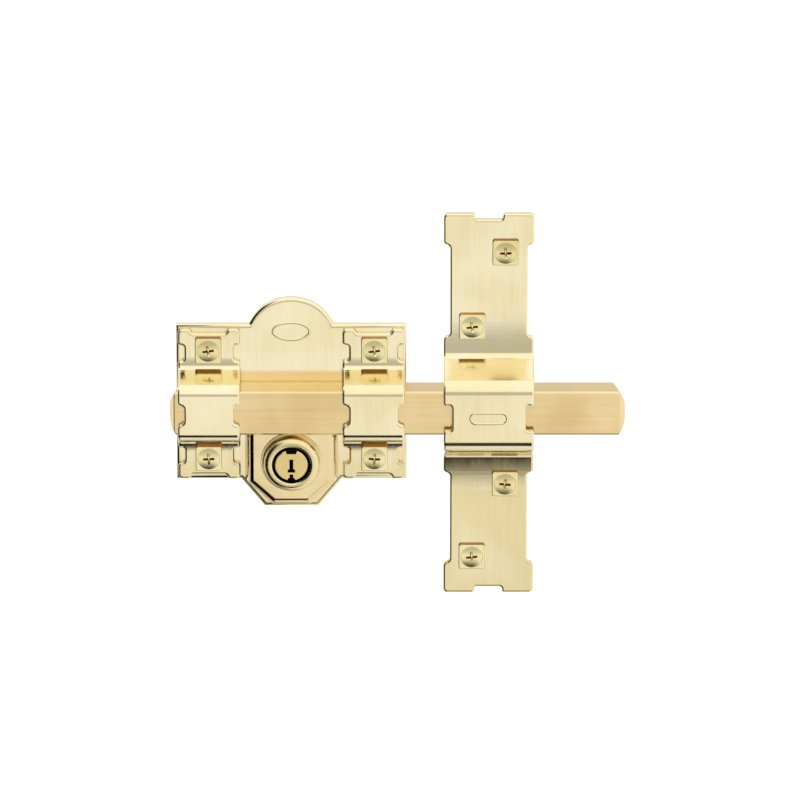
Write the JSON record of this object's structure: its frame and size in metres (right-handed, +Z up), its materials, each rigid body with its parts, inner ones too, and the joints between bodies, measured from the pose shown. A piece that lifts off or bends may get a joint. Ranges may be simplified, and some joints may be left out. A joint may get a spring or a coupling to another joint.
{
  "type": "sliding door bolt",
  "caption": "surface-mounted security door bolt: plate body with two strap guides, key cylinder, sliding rectangular brass bar and a separate screw-on keeper strap",
  "frame": {"origin": "on the back of the base plate, behind the middle line of the bar, midway across the plate", "axes": "+X along the bar towards the keeper, +Y into the door, +Z up; the front faces -Y"},
  "size_m": [0.198, 0.051, 0.1756],
  "materials": {
    "sheet_plating": "polished brass-coloured plating",
    "housing_plating": "polished brass-coloured plating",
    "bar_brass": "brushed lengthwise",
    "screw_plating": "bright brass-coloured plating",
    "lock_brass": "machined",
    "spring_steel": "plain"
  },
  "bodies": {
    "lock_body": {"base_plate": "sheet_plating", "left_strap": "sheet_plating", "right_strap": "sheet_plating", "keeper_strap": "sheet_plating", "lock_housing": "housing_plating", "rosette": "housing_plating", "body_collars": "screw_plating", "keeper_collars": "screw_plating", "body_screws": "screw_plating", "keeper_screws": "screw_plating", "cylinder_shell": "lock_brass", "cylinder_screws": "spring_steel", "gear_washer": "spring_steel", "chamber_plugs": "lock_brass", "pin_spring_1": "spring_steel", "pin_spring_2": "spring_steel", "pin_spring_3": "spring_steel", "pin_spring_4": "spring_steel", "pin_spring_5": "spring_steel"},
    "bolt": {"bolt_bar": "bar_brass"},
    "plug": {"key_plug": "lock_brass", "drive_gear": "lock_brass", "plug_clip": "spring_steel"},
    "key_pin_1": {"key_pin_1": "lock_brass"},
    "driver_pin_1": {"driver_pin_1": "lock_brass"},
    "key_pin_2": {"key_pin_2": "lock_brass"},
    "driver_pin_2": {"driver_pin_2": "lock_brass"},
    "key_pin_3": {"key_pin_3": "lock_brass"},
    "driver_pin_3": {"driver_pin_3": "lock_brass"},
    "key_pin_4": {"key_pin_4": "lock_brass"},
    "driver_pin_4": {"driver_pin_4": "lock_brass"},
    "key_pin_5": {"key_pin_5": "lock_brass"},
    "driver_pin_5": {"driver_pin_5": "lock_brass"}
  },
  "joints": [
    {"name": "bar_slide", "type": "slide", "parent": "lock_body", "child": "bolt", "axis": [1, 0, 0], "range_m": [-0.0942, 0]},
    {"name": "plug_turn", "type": "hinge", "parent": "lock_body", "child": "plug", "pos_m": [0, 0, -0.024], "axis": [0, 1, 0], "range_deg": [-360, 0]},
    {"name": "driver_pin_1_lift", "type": "slide", "parent": "lock_body", "child": "driver_pin_1", "axis": [0, 0, -1], "range_m": [0, 0.0012], "stiffness_N_per_m": 200, "springref_m": -0.004, "deforming": ["pin_spring_1"]},
    {"name": "key_pin_1_drop", "type": "slide", "parent": "plug", "child": "key_pin_1", "axis": [0, 0, 1], "range_m": [0, 0.0008]},
    {"name": "driver_pin_2_lift", "type": "slide", "parent": "lock_body", "child": "driver_pin_2", "axis": [0, 0, -1], "range_m": [0, 0.0012], "stiffness_N_per_m": 200, "springref_m": -0.004, "deforming": ["pin_spring_2"]},
    {"name": "key_pin_2_drop", "type": "slide", "parent": "plug", "child": "key_pin_2", "axis": [0, 0, 1], "range_m": [0, 0.0008]},
    {"name": "driver_pin_3_lift", "type": "slide", "parent": "lock_body", "child": "driver_pin_3", "axis": [0, 0, -1], "range_m": [0, 0.0012], "stiffness_N_per_m": 200, "springref_m": -0.004, "deforming": ["pin_spring_3"]},
    {"name": "key_pin_3_drop", "type": "slide", "parent": "plug", "child": "key_pin_3", "axis": [0, 0, 1], "range_m": [0, 0.0008]},
    {"name": "driver_pin_4_lift", "type": "slide", "parent": "lock_body", "child": "driver_pin_4", "axis": [0, 0, -1], "range_m": [0, 0.0012], "stiffness_N_per_m": 200, "springref_m": -0.004, "deforming": ["pin_spring_4"]},
    {"name": "key_pin_4_drop", "type": "slide", "parent": "plug", "child": "key_pin_4", "axis": [0, 0, 1], "range_m": [0, 0.0008]},
    {"name": "driver_pin_5_lift", "type": "slide", "parent": "lock_body", "child": "driver_pin_5", "axis": [0, 0, -1], "range_m": [0, 0.0012], "stiffness_N_per_m": 200, "springref_m": -0.004, "deforming": ["pin_spring_5"]},
    {"name": "key_pin_5_drop", "type": "slide", "parent": "plug", "child": "key_pin_5", "axis": [0, 0, 1], "range_m": [0, 0.0008]}
  ],
  "couplings": [
    {"joint": "plug_turn", "follows": "bar_slide", "rad_per_m": 66.667}
  ]
}
